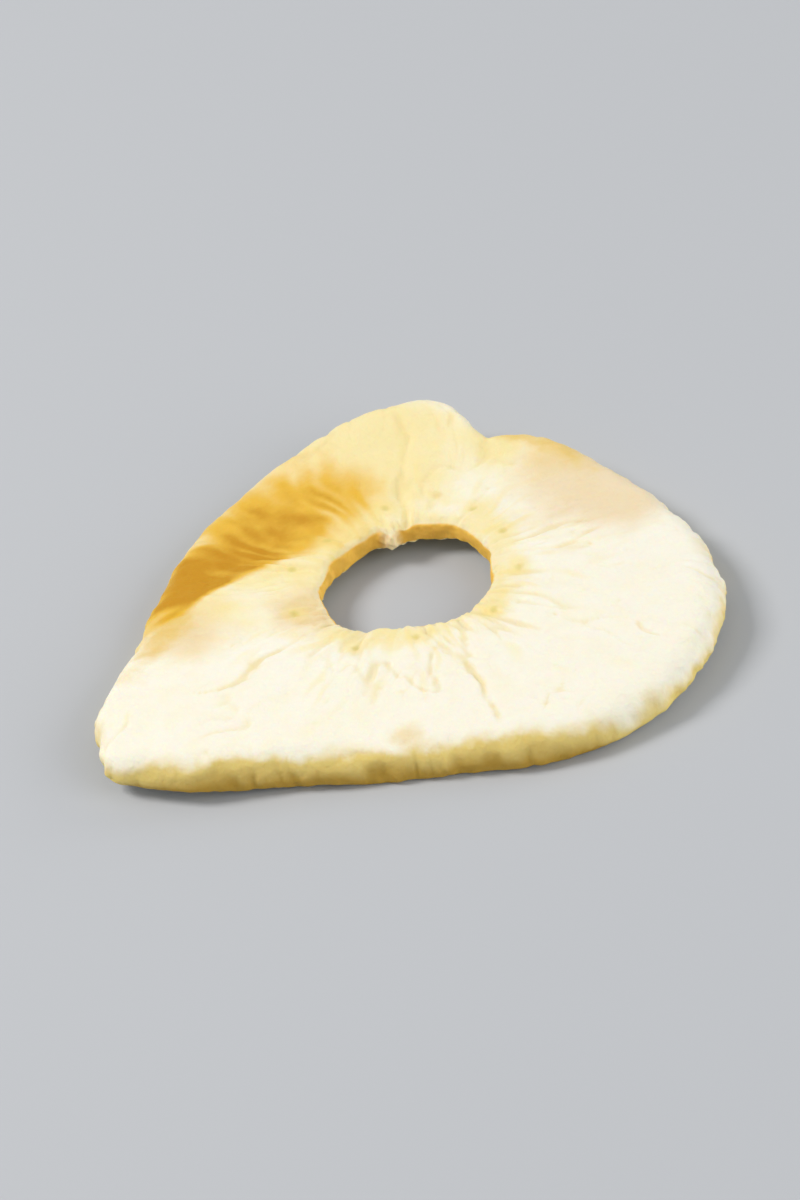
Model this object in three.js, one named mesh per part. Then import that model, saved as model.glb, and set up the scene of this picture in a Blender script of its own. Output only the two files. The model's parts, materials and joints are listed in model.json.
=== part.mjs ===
import * as THREE from 'three';
import { ImprovedNoise } from 'three/addons/math/ImprovedNoise.js';

// A dried apple slice: one ring cut across a peeled and cored apple, dried until it is
// leathery. It lies flat with its paler cut face up. Its straight side faces -Y.
//
// The slice starts as a plain lathe-turned washer with rounded edges. Every point of the
// washer then moves to where drying took it: out to the uneven rim, up or down with the
// shrunken flesh, and up again where the slice curls.
//
// Millimetres, +Z up. Angles are in degrees, counter-clockwise from +X, seen from above.
// "across" runs from 0 at the core hole to 1 at the rim, and "up" from 0 at the underside
// to 1 at the cut face.

// Driving dimensions
const BASE_RADIUS = 21.2;
const RIM_THICKNESS = 3.6;
const FLESH_THICKNESS = 2.8;
const LIP_THICKNESS = 2.4;
const CORE_HOLE_DIAMETER = 14.4;
const CORE_HOLE_X = 0.8;
const CORE_HOLE_Y = 3.9;
const RIM_ROUND_TOP = 2.0;
const RIM_ROUND_UNDER = 1.0;
const LIP_ROUND = 0.8;
const RIM_WIDTH = 5.5;
const LIP_WIDTH = 4.5;
const TORN_WIDTH = 2.0;
const WALL_LEAN = 0.4;
const MIDDLE_RISE = 0.5;
const CREASE_START = 0.1;
const CREASE_FADE = 0.3;

// How fine the faces are: steps around the ring, and along each stretch of its section
const STEPS_AROUND = 132;
const STEPS_CUT_FACE = 11;
const STEPS_UNDERSIDE = 8;
const STEPS_RIM_ROUND = 4;
const STEPS_RIM_WALL = 1;
const STEPS_LIP_ROUND = 2;
const STEPS_LIP_WALL = 1;

// The outline: how far the rim bulges past the base radius, or falls short of it
const RIM_BULGES = [
  { name: 'far side', at: 82, out: 5.0, reach: 55 },
  { name: 'right side', at: -30, out: 5.9, reach: 51 },
  { name: 'left corner', at: -154, out: 7.8, reach: 22 },
  { name: 'straight near side', at: -88, out: -1.9, reach: 22 },
  { name: 'upper point of the left corner', at: -164, out: 0.4, reach: 4 },
  { name: 'lower point of the left corner', at: -150, out: 1.1, reach: 3.5 },
  { name: 'near edge of the left corner', at: -138, out: 1.2, reach: 9 },
  { name: 'straight left side', at: 172, out: 0.3, reach: 14 },
  { name: 'shoulder of the curled lobe', at: 78, out: 1.3, reach: 9 },
  { name: 'notch beside the curled lobe', at: 66, out: -2.9, reach: 6 },
];

// The core hole is round from the corer, with torn bits and flats left by drying
const HOLE_BULGES = [
  { name: 'torn core membrane', at: 97, out: -0.9, reach: 6 },
  { name: 'stretched far right', at: 56, out: 0.5, reach: 16 },
  { name: 'flat right side', at: -4, out: -0.4, reach: 14 },
  { name: 'corner of the near right', at: -62, out: 0.3, reach: 12 },
  { name: 'flat near side', at: -97, out: -0.4, reach: 14 },
  { name: 'corner of the near left', at: -145, out: 0.5, reach: 22 },
  { name: 'stretched left side', at: 176, out: 0.3, reach: 16 },
];

// Where drying curls the rim off the surface; between these it touches down
const CURLS = [
  { name: 'far lobe', at: 87, rise: 2.7, reach: 22 },
  { name: 'left corner', at: -152, rise: 1.0, reach: 22 },
  { name: 'right end', at: -22, rise: 0.9, reach: 26 },
  { name: 'left side', at: 165, rise: -0.3, reach: 25 },
  { name: 'near side', at: -92, rise: -0.4, reach: 24 },
  { name: 'far right', at: 28, rise: -0.4, reach: 16 },
  { name: 'far left', at: 136, rise: -0.4, reach: 16 },
];

// Shrinkage creases in the cut face, which run outwards from the core
const CREASES = [
  { at: 86, from: 0.0, to: 0.85, depth: 0.40, reach: 4.5 },
  { at: 57, from: 0.1, to: 0.55, depth: 0.20, reach: 5.0 },
  { at: 22, from: 0.0, to: 0.45, depth: 0.22, reach: 6.0 },
  { at: -20, from: 0.1, to: 0.60, depth: 0.18, reach: 6.0 },
  { at: -52, from: 0.0, to: 0.75, depth: 0.34, reach: 5.0 },
  { at: -71, from: 0.3, to: 0.95, depth: 0.32, reach: 4.0 },
  { at: -104, from: 0.3, to: 0.85, depth: 0.22, reach: 4.0 },
  { at: -128, from: 0.0, to: 0.70, depth: 0.34, reach: 5.5 },
  { at: -162, from: 0.1, to: 0.60, depth: 0.22, reach: 6.0 },
  { at: 160, from: 0.0, to: 0.65, depth: 0.26, reach: 6.0 },
  { at: 124, from: 0.1, to: 0.70, depth: 0.30, reach: 5.5 },
];

// The fold on the left of the cut face: a crest along a curved line, which runs to the left
// from its top and bends down, and a hollow on its far side
const FOLD_TOP_X = -6.3;
const FOLD_TOP_Y = 8.6;
const FOLD_BEND = 0.036;
const FOLD_HEIGHT = 0.32;
const FOLD_WIDTH = 1.4;
const FOLD_HOLLOW_AWAY = 3.6;
const FOLD_HOLLOW_WIDTH = 2.4;
const FOLD_STARTS = 2;
const FOLD_FULL = -3;

// Relief that repeats without a pattern: its size in the surface, and its height
const COCKLE = { size: 7.5, height: 0.34 };
const PUCKER = { size: 2.8, height: 0.12 };
const KNIFE_FACET = { size: 4.2, height: 0.34 };
const TORN_LIP = { size: 1.7, height: 0.22 };

const HOLE_RADIUS = CORE_HOLE_DIAMETER / 2;

const { euclideanModulo, lerp, radToDeg, smoothstep } = THREE.MathUtils;
const noise = new ImprovedNoise();

function angleBetween(a, b) {
  return euclideanModulo(a - b + 180, 360) - 180;
}

function bell(distance, reach) {
  return Math.exp(-((distance / reach) ** 2));
}

function sumOfBells(features, angle, amount) {
  return features.reduce(
    (sum, feature) => sum + feature[amount] * bell(angleBetween(angle, feature.at), feature.reach),
    0,
  );
}

function relief(kind, x, y, z) {
  return kind.height * noise.noise(x / kind.size, y / kind.size, z / kind.size);
}

// The lasting waves of the shrunken flesh, which differ from face to face
function wrinkles(place, z) {
  return relief(COCKLE, place.x, place.y, z) + relief(PUCKER, place.x, place.y, z);
}

// The turned washer's section, as stretches of straight line and quarter round
function washerSection() {
  const inside = HOLE_RADIUS;
  const outside = BASE_RADIUS;
  const top = RIM_THICKNESS;
  const quarter = Math.PI / 2;
  const section = new THREE.Path();
  const steps = [];

  section.moveTo(inside + LIP_ROUND, 0);
  section.lineTo(outside - RIM_ROUND_UNDER, 0);
  steps.push(STEPS_UNDERSIDE);
  section.absarc(outside - RIM_ROUND_UNDER, RIM_ROUND_UNDER, RIM_ROUND_UNDER, -quarter, 0);
  steps.push(STEPS_RIM_ROUND);
  section.lineTo(outside, top - RIM_ROUND_TOP);
  steps.push(STEPS_RIM_WALL);
  section.absarc(outside - RIM_ROUND_TOP, top - RIM_ROUND_TOP, RIM_ROUND_TOP, 0, quarter);
  steps.push(STEPS_RIM_ROUND);
  section.lineTo(inside + LIP_ROUND, top);
  steps.push(STEPS_CUT_FACE);
  section.absarc(inside + LIP_ROUND, top - LIP_ROUND, LIP_ROUND, quarter, 2 * quarter);
  steps.push(STEPS_LIP_ROUND);
  section.lineTo(inside, LIP_ROUND);
  steps.push(STEPS_LIP_WALL);
  section.absarc(inside + LIP_ROUND, LIP_ROUND, LIP_ROUND, 2 * quarter, 3 * quarter);
  steps.push(STEPS_LIP_ROUND);

  const points = section.curves.flatMap((curve, i) => curve.getPoints(steps[i]).slice(0, -1));
  return [...points, points[0].clone()];
}

function rimRadius(angle) {
  return BASE_RADIUS + sumOfBells(RIM_BULGES, angle, 'out');
}

function holeRadius(angle) {
  return HOLE_RADIUS + sumOfBells(HOLE_BULGES, angle, 'out');
}

// Thick at the rim, shrunken between, and thinnest at the hole's lip
function thickness(across, width) {
  const rim = smoothstep(across, 1 - RIM_WIDTH / width, 1);
  const lip = 1 - smoothstep(across, 0, LIP_WIDTH / width);
  return (
    FLESH_THICKNESS +
    rim * (RIM_THICKNESS - FLESH_THICKNESS) +
    lip * (LIP_THICKNESS - FLESH_THICKNESS)
  );
}

// How far the slice's middle is bent up, before the surface below flattens the underside
function curl(angle, across) {
  const crown = MIDDLE_RISE * (1 - across ** 4);
  return crown + sumOfBells(CURLS, angle, 'rise') * across ** 2;
}

function creaseDepth(angle, across) {
  return CREASES.reduce((sum, crease) => {
    const starts = smoothstep(across, crease.from - CREASE_START, crease.from);
    const ends = 1 - smoothstep(across, crease.to - CREASE_FADE, crease.to);
    return sum + crease.depth * starts * ends * bell(angleBetween(angle, crease.at), crease.reach);
  }, 0);
}

function foldHeight(place) {
  const x = place.x - FOLD_TOP_X;
  const past = (place.y - FOLD_TOP_Y + FOLD_BEND * x ** 2) / Math.hypot(1, 2 * FOLD_BEND * x);
  const crest = bell(past, FOLD_WIDTH) - bell(past - FOLD_HOLLOW_AWAY, FOLD_HOLLOW_WIDTH);
  return FOLD_HEIGHT * crest * (1 - smoothstep(x, FOLD_FULL, FOLD_STARTS));
}

// Moves one point of the washer to its place on the dried slice
function dry(point) {
  const angle = radToDeg(Math.atan2(point.y, point.x));
  const direction = new THREE.Vector2(point.x, point.y).normalize();
  const radius = Math.hypot(point.x, point.y);
  const across = (radius - HOLE_RADIUS) / (BASE_RADIUS - HOLE_RADIUS);
  const up = point.z / RIM_THICKNESS;

  const coreCentre = new THREE.Vector2(CORE_HOLE_X, CORE_HOLE_Y);
  const holePoint = coreCentre.addScaledVector(direction, holeRadius(angle));
  const rimPoint = direction.clone().multiplyScalar(rimRadius(angle));
  const width = holePoint.distanceTo(rimPoint);
  const place = holePoint.lerp(rimPoint, across);

  const onRim = smoothstep(width * (across - 1), -RIM_WIDTH, 0);
  const onLip = 1 - smoothstep(width * across, 0, TORN_WIDTH);
  const lean = WALL_LEAN * (0.5 - up);
  const facet = relief(KNIFE_FACET, place.x, place.y, point.z);
  const tear = relief(TORN_LIP, place.x, place.y, point.z);
  place.addScaledVector(direction, onRim * (lean + facet) + onLip * tear);

  const middle = curl(angle, across) + RIM_THICKNESS / 2;
  const halfThickness = thickness(across, width) / 2;
  const underside = middle - halfThickness + wrinkles(place, 0);
  const folds = foldHeight(place) * (1 - onRim) - creaseDepth(angle, across);
  const cutFace = middle + halfThickness + wrinkles(place, RIM_THICKNESS) + folds;
  point.set(place.x, place.y, Math.max(0, lerp(underside, cutFace, up)));
}

function driedSlice() {
  const geometry = new THREE.LatheGeometry(washerSection(), STEPS_AROUND);
  geometry.rotateX(Math.PI / 2);
  const positions = geometry.getAttribute('position');
  const point = new THREE.Vector3();
  for (let i = 0; i < positions.count; i += 1) {
    dry(point.fromBufferAttribute(positions, i));
    positions.setXYZ(i, point.x, point.y, point.z);
  }

  // The origin stands under the middle of the outline
  geometry.computeBoundingBox();
  const middle = geometry.boundingBox.getCenter(new THREE.Vector3());
  geometry.translate(-middle.x, -middle.y, 0);
  geometry.computeVertexNormals();
  return geometry;
}

const flesh = new THREE.MeshStandardMaterial({
  name: 'dried apple flesh',
  color: 0xf7efcf,
  roughness: 0.75,
  metalness: 0,
});

const slice = new THREE.Mesh(driedSlice(), flesh);
slice.name = 'dried_apple_slice';

const group = new THREE.Group();
group.add(slice);

export default group;
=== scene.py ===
# %% [markdown]
# # A dried apple slice
# One ring cut across a peeled, cored apple and dried until it is leathery. The frame holds its
# solid: the outline, the core hole, the thickness and the curl. This lesson takes that form as
# it is and adds what drying leaves behind: fibres, creases, pits, a crinkled rim and a torn
# core, and then the colours of the dried flesh.

# %% Load the frame
import json
import math

import bmesh
import bpy
import numpy as np
from mathutils import Matrix, Vector, kdtree, noise


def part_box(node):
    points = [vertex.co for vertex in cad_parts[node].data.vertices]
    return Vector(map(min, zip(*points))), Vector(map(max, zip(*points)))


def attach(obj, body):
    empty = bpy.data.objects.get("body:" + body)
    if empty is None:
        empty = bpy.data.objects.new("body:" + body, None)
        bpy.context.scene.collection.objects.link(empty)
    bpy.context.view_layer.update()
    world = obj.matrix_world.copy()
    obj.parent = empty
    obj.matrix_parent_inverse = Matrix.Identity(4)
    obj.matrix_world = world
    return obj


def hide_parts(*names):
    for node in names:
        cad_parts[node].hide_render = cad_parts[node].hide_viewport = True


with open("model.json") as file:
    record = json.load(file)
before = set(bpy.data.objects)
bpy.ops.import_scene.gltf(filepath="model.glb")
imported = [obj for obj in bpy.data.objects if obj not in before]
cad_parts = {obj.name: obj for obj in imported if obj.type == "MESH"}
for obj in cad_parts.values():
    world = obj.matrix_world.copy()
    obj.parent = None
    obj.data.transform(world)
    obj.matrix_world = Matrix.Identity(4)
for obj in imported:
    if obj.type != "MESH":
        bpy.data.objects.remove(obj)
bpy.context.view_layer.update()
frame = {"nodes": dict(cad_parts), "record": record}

MM = 0.001
SLICE_NODE = "dried_apple_slice"
solid = frame["nodes"][SLICE_NODE]
low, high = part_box(SLICE_NODE)
size_mm = (high - low) / MM
print("the solid measures", [round(side, 1) for side in size_mm], "mm")

# %% [markdown]
# ## The camera
# The slice is looked at from 35 degrees above its face, and the picture is turned a little, so
# that the long side climbs to the right. A long lens from about 0.7 m keeps the perspective as
# flat as it is in the reference. The sensor's long side is the picture's height.

# %% Place the camera
CAMERA_HEIGHT_ANGLE = math.radians(35)
CAMERA_ROLL = math.radians(-10.6)
CAMERA_DISTANCE = 0.72
SENSOR = 36.0
PICTURE_ASPECT = 800 / 1200
SLICE_SHARE_OF_WIDTH = 0.80

slice_length = high.x - low.x
picture_height = slice_length / SLICE_SHARE_OF_WIDTH / PICTURE_ASPECT
look_at = Vector((0, 0, high.z / 3))
towards_camera = Vector((0, -math.cos(CAMERA_HEIGHT_ANGLE), math.sin(CAMERA_HEIGHT_ANGLE)))

camera_data = bpy.data.cameras.new("camera")
camera_data.sensor_width = SENSOR
camera_data.lens = SENSOR * CAMERA_DISTANCE / picture_height
camera_data.clip_start = 0.01
camera = bpy.data.objects.new("camera", camera_data)
camera.location = look_at + towards_camera * CAMERA_DISTANCE
aim = towards_camera.to_track_quat("Z", "Y").to_matrix()
camera.rotation_euler = (aim @ Matrix.Rotation(CAMERA_ROLL, 3, "Z")).to_euler()
bpy.context.scene.collection.objects.link(camera)
bpy.context.scene.camera = camera
print("lens", round(camera_data.lens), "mm; the picture is", round(picture_height / MM), "mm high")

# %% [markdown]
# ## Helpers for the materials
# Colours are written as the hex values that a picture editor shows, which are sRGB. The
# shaders work in linear light, so one function turns them. Another adds a node with its
# settings, and links every input that is given a socket.

# %% Colour and node helpers
def colour(hex_code):
    """A shader colour from an sRGB hex code."""
    channels = [int(hex_code[i : i + 2], 16) / 255 for i in (1, 3, 5)]
    linear = [c / 12.92 if c <= 0.04045 else ((c + 0.055) / 1.055) ** 2.4 for c in channels]
    return (*linear, 1.0)


def add(tree, kind, inputs=None, **settings):
    """Adds a shader node. An input that is given a socket is linked, any other is set."""
    made = tree.nodes.new("ShaderNode" + kind)
    for name, value in settings.items():
        setattr(made, name, value)
    for name, value in (inputs or {}).items():
        if isinstance(value, bpy.types.NodeSocket):
            tree.links.new(value, made.inputs[name])
        else:
            made.inputs[name].default_value = value
    return made


def new_material(name):
    """An empty node material, with its shader and its output joined."""
    material = bpy.data.materials.new(name)
    material.use_nodes = True
    tree = material.node_tree
    tree.nodes.clear()
    shader = add(tree, "BsdfPrincipled")
    add(tree, "OutputMaterial", {"Surface": shader.outputs["BSDF"]})
    return material, tree, shader


# %% [markdown]
# ## The floor and the light
# A pale, plain floor takes the slice's shadow. The main light stands high on the left and a
# little behind, so that it shows the wrinkles of the face and leaves the near rim in a gentle
# shade. A larger, softer light on the camera's right keeps that shade open, a weak one on the
# far right brightens the round end, and the room adds even light from all sides.

# %% Floor
FLOOR_SIZE = 3.0
FLOOR_COLOUR = "#BFC3CA"
FLOOR_ROUGHNESS = 0.9

floor_mesh = bpy.data.meshes.new("floor")
plane = bmesh.new()
bmesh.ops.create_grid(plane, x_segments=1, y_segments=1, size=FLOOR_SIZE / 2)
plane.to_mesh(floor_mesh)
plane.free()
floor = bpy.data.objects.new("floor", floor_mesh)
bpy.context.scene.collection.objects.link(floor)
card, tree, shader = new_material("matte_card")
shader.inputs["Base Color"].default_value = colour(FLOOR_COLOUR)
shader.inputs["Roughness"].default_value = FLOOR_ROUGHNESS
floor_mesh.materials.append(card)

# %% Lights
ROOM_COLOUR = "#EEF0F2"
ROOM_STRENGTH = 0.45


def area_light(name, place, width, watts, tint):
    """Adds a square soft light that faces the slice."""
    data = bpy.data.lights.new(name, "AREA")
    data.size = width
    data.energy = watts
    data.color = colour(tint)[:3]
    light = bpy.data.objects.new(name, data)
    light.location = place
    light.rotation_euler = Vector(place).to_track_quat("Z", "Y").to_euler()
    bpy.context.scene.collection.objects.link(light)


area_light("key_above_left", (-0.48, 0.10, 0.50), 0.26, 3.2, "#FFFAF2")
area_light("fill_right", (0.62, -0.46, 0.36), 0.60, 2.8, "#FFFDF8")
area_light("edge_far_right", (0.68, 0.24, 0.24), 0.40, 1.2, "#FFFAF0")

world = bpy.data.worlds.new("soft_room")
world.use_nodes = True
background = world.node_tree.nodes["Background"]
background.inputs["Color"].default_value = colour(ROOM_COLOUR)
background.inputs["Strength"].default_value = ROOM_STRENGTH
bpy.context.scene.world = world
bpy.context.scene.view_settings.view_transform = "Standard"
print("lit by", len(bpy.data.lights), "area lights and the room")

# %% [markdown]
# ## The working mesh
# The solid's mesh is loose triangles. A copy of it is merged, its triangles are paired back
# into quads, and a subdivision surface rounds them to faces of about a quarter of a
# millimetre. That is fine enough to carry every wrinkle that can be seen, so the wrinkles are
# real relief, and the form under them is still the solid's own.

# %% Copy, merge and subdivide
MERGE_DISTANCE = 0.005 * MM
SUBDIVISIONS = 2


def quads_of(node, name):
    """An object with a merged copy of a node's mesh, in quads."""
    mesh = bpy.data.meshes.new(name)
    copy = bmesh.new()
    copy.from_mesh(node.data)
    bmesh.ops.remove_doubles(copy, verts=copy.verts, dist=MERGE_DISTANCE)
    bmesh.ops.join_triangles(
        copy,
        faces=copy.faces,
        angle_face_threshold=math.pi,
        angle_shape_threshold=math.pi,
    )
    copy.to_mesh(mesh)
    copy.free()
    made = bpy.data.objects.new(name, mesh)
    bpy.context.scene.collection.objects.link(made)
    return made


def subdivide(piece, levels):
    """Replaces a piece's mesh by its subdivision surface."""
    rounding = piece.modifiers.new("rounding", "SUBSURF")
    rounding.levels = levels
    rounding.render_levels = levels
    graph = bpy.context.evaluated_depsgraph_get()
    fine = bpy.data.meshes.new_from_object(piece.evaluated_get(graph))
    piece.modifiers.clear()
    piece.data = fine


apple = quads_of(solid, "apple_slice")
kinds = [len(face.vertices) for face in apple.data.polygons]
print("paired into", kinds.count(4), "quads;", kinds.count(3), "triangles are left")
subdivide(apple, SUBDIVISIONS)
print("subdivided to", len(apple.data.polygons), "faces")

# %% [markdown]
# ## Where each point is
# Wrinkles and colours follow the fruit, not the axes: they change with the distance from the
# core and from the rim. So each point's place is measured once: its direction seen from the
# core, and how far it is from the hole's edge and from the rim.

# %% Measure every point
SECTORS = 240


def vertex_values(mesh, what):
    """The places ("co") or normals ("normal") of all points, as rows of x, y, z."""
    values = np.empty(len(mesh.vertices) * 3)
    mesh.vertices.foreach_get(what, values)
    return values.reshape(-1, 3)


def edge_line(places, centre, pick, start):
    """The innermost or outermost point in each direction, as rows of x, y."""
    offset = places[:, :2] - centre
    angle = np.arctan2(offset[:, 1], offset[:, 0])
    sector = ((angle / (2 * math.pi)) % 1 * SECTORS).astype(int) % SECTORS
    reach = np.full(SECTORS, start)
    pick.at(reach, sector, np.hypot(offset[:, 0], offset[:, 1]))
    middle = (np.arange(SECTORS) + 0.5) * 2 * math.pi / SECTORS
    return centre + reach[:, None] * np.stack([np.cos(middle), np.sin(middle)], axis=1)


def distance_to(line, places):
    """How far each place is from the nearest point of a line, seen from above."""
    tree = kdtree.KDTree(len(line))
    for i, (x, y) in enumerate(line):
        tree.insert((x, y, 0), i)
    tree.balance()
    return np.array([tree.find((x, y, 0))[2] for x, y in places[:, :2]])


hole_low, hole_high = np.array(frame["record"]["physics"]["openings"][0]["box_m"])
core = ((hole_low + hole_high) / 2)[:2] / MM
form = vertex_values(apple.data, "co") / MM
form_normals = vertex_values(apple.data, "normal")
turn = np.arctan2(form[:, 1] - core[1], form[:, 0] - core[0])
radius = np.hypot(form[:, 0] - core[0], form[:, 1] - core[1])
from_core = distance_to(edge_line(form, core, np.minimum, np.inf), form)
from_rim = distance_to(edge_line(form, core, np.maximum, 0.0), form)
print("the flesh is up to", round(float((from_core + from_rim).max()), 1), "mm wide")

# %% [markdown]
# ## Relief, pass by pass
# Each pass works out a height in millimetres for every point, and their sum moves the points
# along the surface's normals. A mask says where a pass acts: on the two cut faces, on the
# peeled wall of the rim or on the wall of the core hole. Where a named value is a pair, a ramp
# starts at its first number and is full at its second. Lengths are in millimetres.

# %% Masks and noise
# how far a normal points up or down where a mask starts and where it is full
WALL_TURN = (0.8, 0.3)
FACE_TURN = (0.85, 0.35)

relief = {}


def rise(value, start, end):
    """0 before start, 1 after end, and a smooth rise between. end may be below start."""
    t = np.clip((value - start) / (end - start), 0, 1)
    return t * t * (3 - 2 * t)


def bumps(places, size, seed):
    """Seeded noise between about -1 and 1, with bumps of the given size in millimetres."""
    shift = np.array((13.7, 7.9, 3.1)) * seed
    return np.array([noise.noise(Vector(p)) for p in places / size + shift])


def valley(field, width):
    """1 along the lines where a noise passes through zero, and 0 away from them."""
    return np.exp(-((field / width) ** 2))


upward = form_normals[:, 2]
steepness = rise(np.abs(upward), *WALL_TURN)
on_face = 1 - rise(np.abs(upward), *FACE_TURN)
on_rim_wall = steepness * (from_rim < from_core)
on_core_wall = steepness * (from_core < from_rim)
print("share of points on the walls:", round(float((steepness > 0.5).mean()), 2))

# %% [markdown]
# ### Pleats
# An apple's flesh is built outwards from the core, and as it dries it draws together in folds
# that run the same way. Noise that is read round a circle, and slowly along the radius, gives
# such streaks. They are closest together at the hole and fade towards the rim. Here and there
# two folds meet in a sharp valley, along a line where the noise passes through zero. The noise
# is divided by its slope there, so that every valley is equally wide.

# %% Radial pleats
PLEATS_ROUND = 30
PLEAT_LENGTH = 8.0
PLEAT_HEIGHT = 0.20
FIBRES_ROUND = 95
FIBRE_LENGTH = 4.0
FIBRE_HEIGHT = 0.09
SEAMS_ROUND = 17
SEAM_WIDTH = 0.34
SEAM_DEPTH = 0.20
SEAM_PATCH_SIZE = 4.5
SEAM_PATCH_EDGE = (-0.05, 0.35)
SEAM_START = (0.3, 1.5)
PLEAT_FADE = 15.0
SHARE_AT_RIM = 0.3
WANDER = 0.11
WANDER_SIZE = 5.0
WANDER_SEED = 40
SLOPE_STEP = 0.02
FAINTEST_SLOPE = 0.12


def streaks(count, length, seed, turned=0.0):
    """Noise drawn out along the radius, with about count streaks all round."""
    bent = turn + turned + WANDER * bumps(form, WANDER_SIZE, seed + WANDER_SEED)
    round_radius = count / (2 * math.pi)
    rows = [round_radius * np.cos(bent), round_radius * np.sin(bent), from_core / length]
    return bumps(np.stack(rows, axis=1), 1.0, seed)


def furrows(count, length, seed, width):
    """1 along the zero lines of streaks, all of one width in millimetres, and 0 elsewhere."""
    field = streaks(count, length, seed)
    slope = (streaks(count, length, seed, SLOPE_STEP) - field) / (SLOPE_STEP * radius)
    return valley(field / np.hypot(slope, FAINTEST_SLOPE), width)


fade = SHARE_AT_RIM + (1 - SHARE_AT_RIM) * rise(from_core, PLEAT_FADE, 0.0)
fibres = streaks(FIBRES_ROUND, FIBRE_LENGTH, 2)
seams = furrows(SEAMS_ROUND, 3 * PLEAT_LENGTH, 3, SEAM_WIDTH)
seam_here = rise(bumps(form, SEAM_PATCH_SIZE, 8), *SEAM_PATCH_EDGE) * rise(from_core, *SEAM_START)
relief["pleats"] = PLEAT_HEIGHT * on_face * fade * streaks(PLEATS_ROUND, PLEAT_LENGTH, 1)
relief["fibres"] = FIBRE_HEIGHT * on_face * fade * fibres
relief["seams"] = -SEAM_DEPTH * on_face * fade * seams * seam_here
print("pleats stand up to", round(float(relief["pleats"].max()), 2), "mm")

# %% [markdown]
# ### Creases
# Where the flesh shrank most it folded into a few longer creases. Each runs outwards from near
# the core, wanders a little and fades out. A groove between two low swellings reads as a
# fold, where a groove alone would read as a scratch.

# %% Creases
CREASE_WIDTH = 0.42
CREASE_SPREAD = 0.6  # radians to either side of its direction
CREASE_START_FADE = 0.8
CREASE_END_FADE = 3.5
SWELLING_WIDTH = 1.9
SWELLING_SHARE = 0.4
CREASE_DRIFTS = [
    # height in mm, size in mm, seed
    (1.0, 5.5, 11),
    (0.35, 1.8, 12),
]
CREASE_MEAN = 0.75
CREASE_UNEVENNESS = 0.6
CREASE_UNEVEN_SIZE = 1.6
CREASES = [
    # direction in degrees, start and end from the hole in mm, depth in mm
    (86, 0.3, 15.5, 0.28),
    (72, 1.4, 5.8, 0.18),
    (52, 0.4, 7.2, 0.16),
    (18, 0.2, 6.0, 0.12),
    (341, 0.8, 7.0, 0.14),
    (307, 1.0, 5.0, 0.16),
    (283, 5.0, 18.5, 0.34),
    (255, 7.6, 13.0, 0.18),
    (233, 0.6, 5.2, 0.15),
    (213, 3.2, 11.0, 0.24),
    (186, 0.4, 6.4, 0.14),
    (156, 0.2, 8.4, 0.16),
    (122, 1.0, 7.8, 0.20),
]

drift = sum(reach * bumps(form, size, seed) for reach, size, seed in CREASE_DRIFTS)
unevenness = CREASE_MEAN + CREASE_UNEVENNESS * bumps(form, CREASE_UNEVEN_SIZE, 13)
creases = np.zeros(len(form))
# groove keeps the creases' depth for the painted shade in them further down
groove = np.zeros(len(form))
for degrees, start, end, depth in CREASES:
    apart = (turn - math.radians(degrees) + math.pi) % (2 * math.pi) - math.pi
    across = apart * radius + drift
    along = rise(from_core, start - CREASE_START_FADE, start + CREASE_START_FADE)
    along *= rise(from_core, end, end - CREASE_END_FADE)
    strength = depth * along * on_face * unevenness * (np.abs(apart) < CREASE_SPREAD)
    swelling = SWELLING_SHARE * valley(across, SWELLING_WIDTH)
    creases += strength * (swelling - valley(across, CREASE_WIDTH))
    groove += strength * valley(across, CREASE_WIDTH)
relief["creases"] = creases
print("the deepest crease is", round(float(-creases.min()), 2), "mm")

# %% [markdown]
# ### The fold on the left
# Left of the hole the solid has a fold: a crest along a curved line, and a hollow on its far
# side. The hollow is honey-coloured, partly as flesh that dried dense and partly as a painted
# shadow with warm bounced light in it, so how far each point lies past the crest is measured
# here, for the colours further down.

# %% Distance past the fold
FOLD_TOP = (-6.0, 6.2)
FOLD_BEND = 0.036
FOLD_WANDER = 0.5
FOLD_WANDER_SIZE = 2.6

fold_x = form[:, 0] - FOLD_TOP[0]
past_fold = form[:, 1] - FOLD_TOP[1] + FOLD_BEND * fold_x**2
past_fold /= np.hypot(1, 2 * FOLD_BEND * fold_x)
past_fold += FOLD_WANDER * bumps(form, FOLD_WANDER_SIZE, 14)
print("the fold's far side reaches", round(float(past_fold[fold_x < 0].max()), 1), "mm past it")

# %% [markdown]
# ### Leathery wrinkles
# Between the creases the whole face puckers. A low swell a few millimetres wide lies under a
# web of fine wrinkles and a suede of opened cells. The wrinkles run outwards as the pleats do,
# and come and go in patches, as they do where the flesh was denser.

# %% Wrinkles and suede
SWELL_SIZE = 2.7
SWELL_HEIGHT = 0.15
WRINKLES_ROUND = 34
WRINKLE_LENGTH = 8.0
WRINKLE_WIDTH = 0.30
WRINKLE_DEPTH = 0.15
FINER_SHARE = 0.6
WRINKLED_SIZE = 6.0
WRINKLED_EDGE = (-0.3, 0.35)
SUEDE_SIZE = 0.75
SUEDE_HEIGHT = 0.045

wrinkle_web = furrows(WRINKLES_ROUND, WRINKLE_LENGTH, 21, WRINKLE_WIDTH)
finer_web = furrows(2 * WRINKLES_ROUND, FINER_SHARE * WRINKLE_LENGTH, 22, WRINKLE_WIDTH)
wrinkle_web += FINER_SHARE * finer_web
wrinkled = rise(bumps(form, WRINKLED_SIZE, 23), *WRINKLED_EDGE)
relief["swell"] = SWELL_HEIGHT * on_face * bumps(form, SWELL_SIZE, 24)
relief["wrinkles"] = -WRINKLE_DEPTH * on_face * wrinkled * wrinkle_web
relief["suede"] = SUEDE_HEIGHT * bumps(form, SUEDE_SIZE, 25)
print("share of the face that is wrinkled:", round(float((wrinkled > 0.5).mean()), 2))

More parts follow.
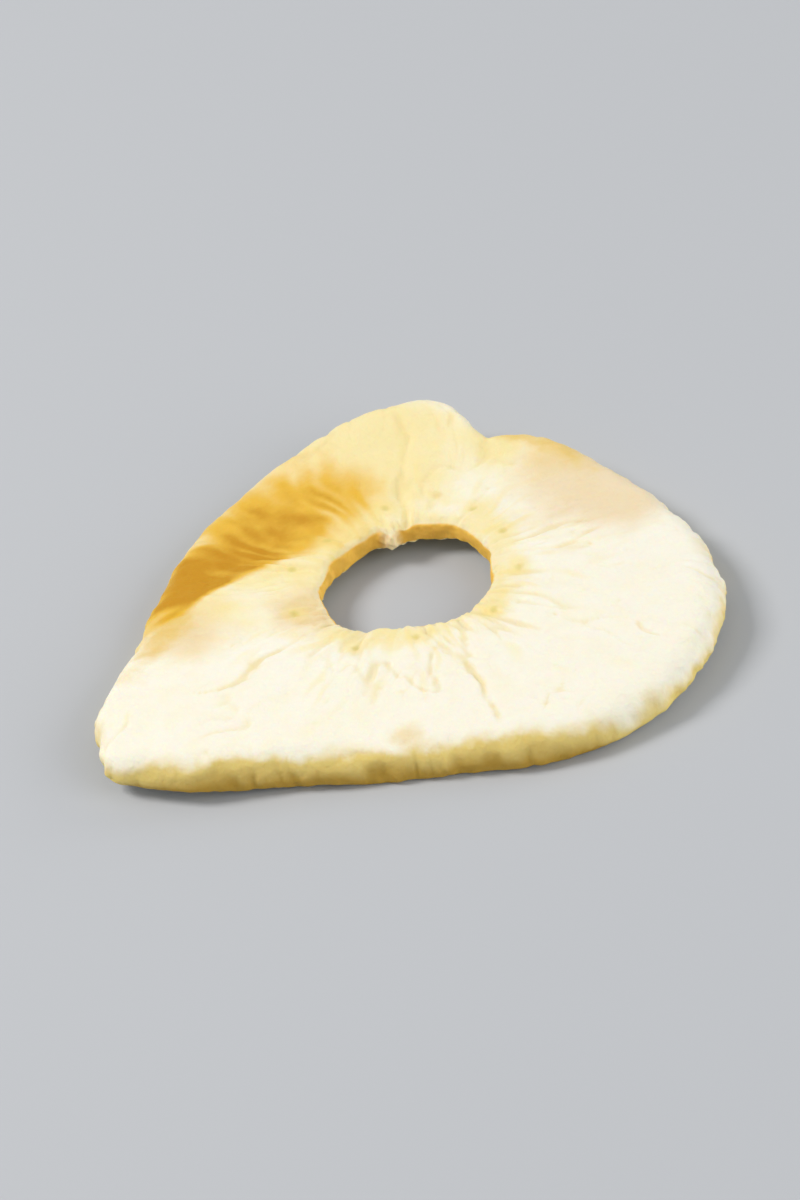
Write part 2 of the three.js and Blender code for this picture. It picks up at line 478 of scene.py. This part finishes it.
# %% [markdown]
# ### Pits and bundles
# Opened cells dry to small pits, which are scattered by a seeded draw. The ten vascular bundles
# of an apple lie in a ring round the core. Where the knife cut them they show as small dimples.

# %% Pits and bundle dimples
PIT_COUNT = 240
PIT_RADIUS = (0.22, 0.45)
PIT_DEPTH = (0.05, 0.14)
BUNDLE_COUNT = 10
BUNDLE_START = -17
BUNDLE_JITTER = 5
BUNDLE_RING = (8.9, 10.6)
BUNDLE_DEPTH = 0.10
BUNDLE_RADIUS = 0.50

draw = np.random.default_rng(20)
point_tree = kdtree.KDTree(len(form))
for i, spot in enumerate(form):
    point_tree.insert(spot, i)
point_tree.balance()


def dimple(centre, reach, depth):
    """Adds one dimple to the pits, round a point of the surface."""
    for _, near, distance in point_tree.find_range(centre, 2 * reach):
        pits[near] -= depth * math.exp(-((distance / reach) ** 2))


pits = np.zeros(len(form))
for i in draw.choice(np.flatnonzero(on_face > 0.9), PIT_COUNT, replace=False):
    dimple(form[i], draw.uniform(*PIT_RADIUS), draw.uniform(*PIT_DEPTH))

bundles = []
for k in range(BUNDLE_COUNT):
    degrees = BUNDLE_START + 360 * k / BUNDLE_COUNT + draw.uniform(-BUNDLE_JITTER, BUNDLE_JITTER)
    reach = draw.uniform(*BUNDLE_RING)
    x = core[0] + reach * math.cos(math.radians(degrees))
    y = core[1] + reach * math.sin(math.radians(degrees))
    _, nearest, _ = point_tree.find((x, y, high.z / MM))
    bundles.append(form[nearest])
    dimple(form[nearest], BUNDLE_RADIUS, BUNDLE_DEPTH)
relief["pits"] = pits
print("made", PIT_COUNT, "pits and", BUNDLE_COUNT, "bundles")

# %% [markdown]
# ### The rim and the torn core
# The knife that peeled the apple left the outer wall in short facets, and drying crinkled it
# from top to bottom, with thin furrows between the crinkles. At the core the corer tore the
# flesh, so the hole's edge is ragged, most of all where a bit of the core's membrane still
# hangs on.

# %% Rim crinkles and torn core
CRINKLE_SIZE = 1.15
CRINKLE_STRETCH = 3.0
CRINKLE_HEIGHT = 0.28
FURROW_SPACING = 1.4
FURROW_WIDTH = 0.15
FURROW_SHARE = 0.6
RIM_FADE = (2.0, 0.3)
SHARE_ON_TOP = 0.25
HOLE_FADE = (1.1, 0.1)
CALM_SHARE = 0.45
CALM_SIZE = 7.0
CALM_EDGE = (-0.25, 0.3)
NIBBLE_SIZE = 0.65
NIBBLE_HEIGHT = 0.10
TEAR_SIZE = 0.75
TEAR_UPRIGHT = 0.6
TEAR_HEIGHT = 0.15
MEMBRANE_DIRECTION = math.radians(97)
MEMBRANE_REACH = 0.16  # radians
FRAY_SIZE = 0.42
FRAY_HEIGHT = 0.35

upright = form * (1, 1, 1 / CRINKLE_STRETCH)
at_rim = rise(from_rim, *RIM_FADE) * (SHARE_ON_TOP + (1 - SHARE_ON_TOP) * on_rim_wall)
at_hole = rise(from_core, *HOLE_FADE)
membrane = at_hole * np.exp(-(((turn - MEMBRANE_DIRECTION) / MEMBRANE_REACH) ** 2))
crinkled = CALM_SHARE + (1 - CALM_SHARE) * rise(bumps(form, CALM_SIZE, 9), *CALM_EDGE)
crinkle = bumps(upright, CRINKLE_SIZE, 5)
crinkle -= FURROW_SHARE * valley(bumps(upright, FURROW_SPACING * CRINKLE_SIZE, 15), FURROW_WIDTH)
relief["crinkles"] = CRINKLE_HEIGHT * at_rim * crinkled * crinkle
relief["nibbles"] = NIBBLE_HEIGHT * at_rim * crinkled * bumps(form, NIBBLE_SIZE, 6)
torn = bumps(form * (1, 1, TEAR_UPRIGHT), TEAR_SIZE, 7)
relief["tears"] = TEAR_HEIGHT * at_hole * crinkled * torn
relief["frays"] = FRAY_HEIGHT * membrane * bumps(form, FRAY_SIZE, 8)
print("the rim crinkles by", round(float(np.ptp(relief["crinkles"])), 2), "mm")

# %% [markdown]
# ### The relief becomes form
# The heights are added up and move the points along the normals, so the wrinkles are in the
# mesh itself. No point goes below the surface that the slice lies on.

# %% Move the points
height = sum(relief.values())
moved = form + form_normals * height[:, None]
moved[:, 2] = np.maximum(moved[:, 2], 0)
apple.data.vertices.foreach_set("co", (moved * MM).ravel())
apple.data.update()
for polygon in apple.data.polygons:
    polygon.use_smooth = True
print("the relief runs from", round(float(height.min()), 2), "to", round(float(height.max()), 2))

# %% [markdown]
# ## What the material needs to know
# The measured distances go to the shader as attributes of the points. Others say how deep the
# hollows of the relief are, for a painted shade in them, where the fibres and the bundles run,
# how far the rim's shoulder has turned away from the cut face, where painted shade lies on the
# face, and where the flesh dried to toast or honey, partly with painted shade over them, or was
# bruised. The peeled wall's tint is strongest on the long near side and paler elsewhere: it is
# partly the wall's own colour and partly painted shade, which also deepens in the furrows
# between the crinkles. Below, it turns into the lower cut face, which is as pale as the upper one.

# %% Attributes
# how deep a hollow must be for its painted shade to be full
HOLLOW_DEPTH = 0.22
# the rim's tint is deepest on the side that faces this way, partly as painted shade
SHADED_SIDE_DIRECTION = math.radians(-101)
PALER_TURN = (0.91, 0.68)
PALE_SHARE = 0.72
LOWER_FACE_TURN = (-0.96, -0.78)
# painted shade in the rim's furrows and a paler tint on the crinkles' tops
CRINKLE_SHADE = 0.14
CRINKLE_SHADE_START = (0.02, 0.3)
HONEY_AND_SHADOW_EDGE = (-0.5, 1.5)
HONEY_AND_SHADOW_FIBRES = 0.5
TOAST_AND_SHADE_TURN = (0.1, 0.6)
UNDERSIDE_TURN = -0.2
HALO_REACH = 2.6
BUTTER_PLACES = [
    # x, y and reach in mm, strength
    (-9.0, 13.0, 10.0, 1.0),
    (-19.0, 2.0, 7.5, 0.8),
    (1.0, 18.5, 8.0, 0.9),
    (15.0, 13.0, 6.0, 0.3),
    (10.5, 17.2, 2.2, 0.9),
    (14.6, 14.4, 2.2, 0.8),
    (8.4, -3.0, 3.0, 0.5),
    (-1.0, 21.0, 4.5, 0.5),
]
# honey flesh with a painted shadow over it, left of the hole and past the fold
HONEY_AND_SHADOW_PLACES = [
    (-14.0, 11.4, 5.5, 0.38),
    (-8.6, 14.4, 6.0, 0.75),
    (-17.4, 4.6, 5.0, 1.50),
    (-9.5, 8.5, 4.0, 0.70),
    (-14.5, 5.8, 3.5, 0.50),
    (-3.4, 13.4, 4.0, 0.50),
]
# where painted shade lies on the face: at the upper right, at the far left and left of the hole
PAINTED_SHADE_PLACES = [
    (17.5, 9.0, 6.0, 1.10),
    (20.5, 4.8, 3.0, 0.50),
    (14.3, 14.0, 3.0, 0.50),
    (-18.0, -1.6, 4.2, 0.90),
    (-7.8, -1.2, 3.0, 1.10),
]
# golden bands along the far right edge and along the left edge: partly toasted flesh, partly
# painted shade
TOAST_AND_SHADE_PLACES = [
    (11.0, 19.0, 1.5, 0.80),
    (13.0, 17.9, 1.5, 1.00),
    (14.9, 16.5, 1.6, 1.00),
    (16.6, 14.4, 1.6, 0.90),
    (18.2, 11.9, 1.5, 0.60),
    (-18.4, 0.9, 1.9, 0.90),
    (-19.8, -1.3, 1.8, 0.90),
    (-21.4, -3.8, 1.7, 0.75),
    (-23.2, -6.8, 1.6, 0.50),
]
BRUISE_PLACES = [
    (-1.5, -20.6, 1.7, 0.9),
    (4.7, 11.8, 0.6, 0.9),
    (-3.2, 8.6, 0.7, 0.5),
]


def keep(name, values):
    """Stores one number for each point, for the material to read."""
    layer = apple.data.attributes.new(name, "FLOAT", "POINT")
    layer.data.foreach_set("value", values.astype(np.float32))


def stains_and_shade(spots):
    """The strength of soft round patches, stains and painted shade alike, seen from above."""
    total = np.zeros(len(form))
    for x, y, reach, strength in spots:
        gap = np.hypot(form[:, 0] - x, form[:, 1] - y)
        total += strength * np.exp(-((gap / reach) ** 2))
    return total


# paler away from the long near side, where the deeper tint is partly painted shade
paler = rise(np.cos(turn - SHADED_SIDE_DIRECTION), *PALER_TURN)
bare = (1 - upward) * rise(upward, *LOWER_FACE_TURN) * (from_rim < from_core)
# the rim's tint follows its crinkles: painted shade in the furrows, paler on the tops
bare_with_crinkle_shade = bare - CRINKLE_SHADE * rise(bare, *CRINKLE_SHADE_START) * crinkle
bundle_spots = [(x, y, BUNDLE_RADIUS, 1.0) for x, y, _ in bundles]
halo_spots = [(x, y, HALO_REACH * BUNDLE_RADIUS, 1.0) for x, y, _ in bundles]
fine_height = height - relief["pleats"] - relief["swell"] - relief["crinkles"]
keep("from_core", from_core)
keep("shoulder_and_shade", bare_with_crinkle_shade * (1 - PALE_SHARE * paler))
keep("core_wall", on_core_wall)
# hollow and groove carry a painted shade into the relief's hollows and creases
keep("hollow", np.clip(-fine_height / HOLLOW_DEPTH, 0, 1))
keep("groove", np.clip(groove / HOLLOW_DEPTH, 0, 1))
keep("fibre", fibres * fade)
keep("bundle", stains_and_shade(bundle_spots) * (upward > 0))
keep("bundle_halo", stains_and_shade(halo_spots) * (upward > 0))
keep("butter", stains_and_shade(BUTTER_PLACES))
keep("honey_and_shadow", stains_and_shade(HONEY_AND_SHADOW_PLACES) * rise(past_fold, *HONEY_AND_SHADOW_EDGE) * (1 + HONEY_AND_SHADOW_FIBRES * fibres))
keep("painted_shade", stains_and_shade(PAINTED_SHADE_PLACES))
keep("toast_and_shade", stains_and_shade(TOAST_AND_SHADE_PLACES) * rise(upward, *TOAST_AND_SHADE_TURN))
keep("bruise", stains_and_shade(BRUISE_PLACES) * (upward > UNDERSIDE_TURN))
keep("membrane", membrane)
print("the mesh carries", len(apple.data.attributes), "attributes")

# %% [markdown]
# ## Dried apple flesh
# The flesh is a dry, porous foam of sugar and cell walls. It is nearly white where it is thick
# and aired, butter-coloured towards the core, straw-coloured where it was peeled, and honey
# where it dried dense. Some colours below are painted light: the honey and the toast are
# partly painted shade, the tan is all painted shade, the olive of the near wall is deepened by
# painted shade, the hollows of the relief carry painted shade, a pale line on the hole's lip is
# partly a painted highlight, and the amber of the core's wall is pushed bright to stand in for
# light bounced inside the hole. Light sinks in by a few tenths of a millimetre and comes back
# warm, so the shader has some subsurface scattering. It has no gloss, only a faint leathery
# sheen on the peeled wall.

# %% Flesh colours
IVORY = "#FEFAEC"
CREAM = "#FBF0CE"
BLUSH = "#FBEFE4"
BUTTER = "#F9E394"
STRAW = "#E6CD70"
# olive of the peeled wall, deepened to stand in for the shade on the near side
OLIVE_STRAW_AND_SHADE = "#B68C1E"
# painted shade: a beige tone where the face is drawn as lying in shadow
PAINTED_SHADE = "#E9CFA0"
# toasted gold, partly painted shade along the edges of the face
TOAST_AND_SHADE = "#E9C566"
# honey flesh, partly a painted shadow with warm bounced light; the deep one is darkest where that
# painted shade is
HONEY_AND_SHADOW = "#EAB824"
DEEP_HONEY_AND_SHADOW = "#C4880A"
# the core wall's own amber, pushed to full brightness as painted light bounced inside the hole
AMBER_AND_BOUNCED_LIGHT = "#FFC84A"
# painted shade for the hollows and creases of the relief
HOLLOW_SHADE = "#EFDC9E"
BUNDLE_GREEN = "#D9CB72"
BRUISE_TAN = "#E8CB84"
PATCH_SHIFT = 0.1
PATCH_DETAIL = 3.0
PATCH_RANGE = (0.32, 0.68)

flesh, tree, shader = new_material("dried_apple_flesh")
place = add(tree, "TexCoord").outputs["Object"]


def patches(size, seed, low=0.0, high=1.0):
    """Noise with patches of a size in millimetres, spread from low to high."""
    shifted = add(tree, "Mapping", {"Vector": place, "Location": (PATCH_SHIFT * seed,) * 3})
    cloud = add(
        tree,
        "TexNoise",
        {"Vector": shifted.outputs["Vector"], "Scale": 1 / (size * MM), "Detail": PATCH_DETAIL},
    )
    spread = {
        "Value": cloud.outputs["Fac"],
        "From Min": PATCH_RANGE[0],
        "From Max": PATCH_RANGE[1],
        "To Min": low,
        "To Max": high,
    }
    return add(tree, "MapRange", spread).outputs["Result"]


def where(name, start, end, uneven=None):
    """0 to 1 as an attribute goes from start to end; uneven shifts it by a socket."""
    value = add(tree, "Attribute", attribute_name=name).outputs["Fac"]
    if uneven is not None:
        value = add(tree, "Math", {0: value, 1: uneven}, operation="ADD").outputs[0]
    span = {"Value": value, "From Min": start, "From Max": end}
    return add(tree, "MapRange", span, interpolation_type="SMOOTHSTEP").outputs["Result"]


print("one colour on the shader's scale:", [round(c, 2) for c in colour(IVORY)])

# %% [markdown]
# ### Washes of colour
# The colour is built up as a painter would: a pale ground, and then washes over it, each with
# the place where it lies and how strongly it covers.

# %% Washes
WASHES = [
    # colour, where it lies, how strongly it covers
    (CREAM, patches(7.0, 1), 0.20),
    (BLUSH, patches(5.0, 2), 0.15),
    (CREAM, patches(1.3, 3), 0.15),
    (CREAM, where("fibre", 0.0, 0.5), 0.32),
    (BUTTER, where("butter", 0.05, 1.0, patches(4.0, 13, -0.20, 0.20)), 0.70),
    (BUTTER, where("from_core", 5.0, 0.2, patches(2.6, 4, -1.8, 1.8)), 0.62),
    (BUTTER, where("fibre", 0.05, 0.55), 0.30),
    # painted shade in the hollows and creases of the relief
    (HOLLOW_SHADE, where("hollow", 0.15, 1.0), 0.50),
    (HOLLOW_SHADE, where("groove", 0.15, 1.0), 0.30),
    # painted shade on the face
    (PAINTED_SHADE, where("painted_shade", 0.05, 1.0, patches(3.0, 15, -0.12, 0.12)), 0.66),
    # toasted edges, partly painted shade
    (TOAST_AND_SHADE, where("toast_and_shade", 0.10, 1.10, patches(1.6, 17, -0.25, 0.15)), 0.75),
    # honey left of the hole: partly dense flesh, partly a painted shadow
    (HONEY_AND_SHADOW, where("honey_and_shadow", 0.08, 0.95, patches(3.2, 5, -0.12, 0.12)), 0.90),
    (DEEP_HONEY_AND_SHADOW, where("honey_and_shadow", 0.70, 1.5, patches(2.2, 6, -0.15, 0.15)), 0.82),
    # the wall's straw and olive: partly its own colour, partly painted shade, strongest on the
    # long near side and deepest low on the wall
    (STRAW, where("shoulder_and_shade", 0.06, 0.40, patches(3.0, 7, -0.06, 0.10)), 0.92),
    (OLIVE_STRAW_AND_SHADE, where("shoulder_and_shade", 0.34, 1.05, patches(2.6, 8, -0.09, 0.09)), 0.85),
    # a pale, uneven line along the hole's edge: partly the torn edge's pale colour, partly a
    # painted highlight on the lip
    (CREAM, where("from_core", 0.6, 0.2, patches(1.4, 16, -0.4, 0.3)), 0.40),
    # amber of the core's wall, partly painted bounced light
    (AMBER_AND_BOUNCED_LIGHT, where("core_wall", 0.15, 0.9, patches(1.8, 10, -0.2, 0.2)), 0.92),
    (OLIVE_STRAW_AND_SHADE, where("core_wall", 0.5, 1.0, patches(1.6, 14, -0.45, 0.25)), 0.35),
    (CREAM, where("membrane", 0.35, 1.0), 0.75),
    (BUTTER, where("bundle_halo", 0.1, 0.9), 0.45),
    (BUNDLE_GREEN, where("bundle", 0.25, 1.0), 0.55),
    (BRUISE_TAN, where("bruise", 0.15, 1.0, patches(1.2, 11, -0.1, 0.1)), 0.6),
]

surface = colour(IVORY)
for hue, share, strength in WASHES:
    scaled = add(tree, "Math", {0: share, 1: strength}, operation="MULTIPLY", use_clamp=True)
    wash = add(tree, "Mix", {0: scaled.outputs[0], 6: surface, 7: colour(hue)}, data_type="RGBA")
    surface = wash.outputs[2]
print("laid", len(WASHES), "washes")

# %% [markdown]
# ### Cells and finish
# The cut cells are about 0.2 mm across, too fine to show, so their grain is drawn at 0.35 mm,
# over a softer unevenness of 0.6 mm. The peeled wall is denser, so it is a little smoother than
# the foam of the cut faces.

# %% Cells and finish
CELL_SIZE = 0.35
CELL_DEPTH = 0.030
GRAIN_SIZE = 0.6
GRAIN_DEPTH = 0.05
BUMP_STRENGTH = 0.8
FACE_ROUGHNESS = 0.80
WALL_ROUGHNESS = 0.58
FLESH_IOR = 1.45
FLESH_SPECULAR = 0.35
SCATTER_WEIGHT = 0.40
SCATTER_COLOUR = (1.0, 0.62, 0.28)
SCATTER_REACH = 0.4

cells = add(tree, "TexVoronoi", {"Vector": place, "Scale": 1 / (CELL_SIZE * MM)})
cell_bump = add(
    tree,
    "Bump",
    {
        "Height": cells.outputs["Distance"],
        "Strength": BUMP_STRENGTH,
        "Distance": CELL_DEPTH * MM,
    },
)
grain_bump = add(
    tree,
    "Bump",
    {
        "Height": patches(GRAIN_SIZE, 12),
        "Strength": BUMP_STRENGTH,
        "Distance": GRAIN_DEPTH * MM,
        "Normal": cell_bump.outputs["Normal"],
    },
)
finish = add(
    tree,
    "MapRange",
    {"Value": where("shoulder_and_shade", 0.3, 1.0), "To Min": FACE_ROUGHNESS, "To Max": WALL_ROUGHNESS},
)

tree.links.new(surface, shader.inputs["Base Color"])
tree.links.new(finish.outputs["Result"], shader.inputs["Roughness"])
tree.links.new(grain_bump.outputs["Normal"], shader.inputs["Normal"])
shader.inputs["IOR"].default_value = FLESH_IOR
shader.inputs["Specular IOR Level"].default_value = FLESH_SPECULAR
shader.inputs["Subsurface Weight"].default_value = SCATTER_WEIGHT
shader.inputs["Subsurface Radius"].default_value = SCATTER_COLOUR
shader.inputs["Subsurface Scale"].default_value = SCATTER_REACH * MM
print("the flesh has", len(tree.nodes), "nodes")

# %% [markdown]
# ## Into the frame
# The slice rides on the frame's only body and stands in for the solid that it was made from.

# %% Put the slice into the frame
apple.data.materials.clear()
apple.data.materials.append(flesh)
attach(apple, "root")
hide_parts(SLICE_NODE)
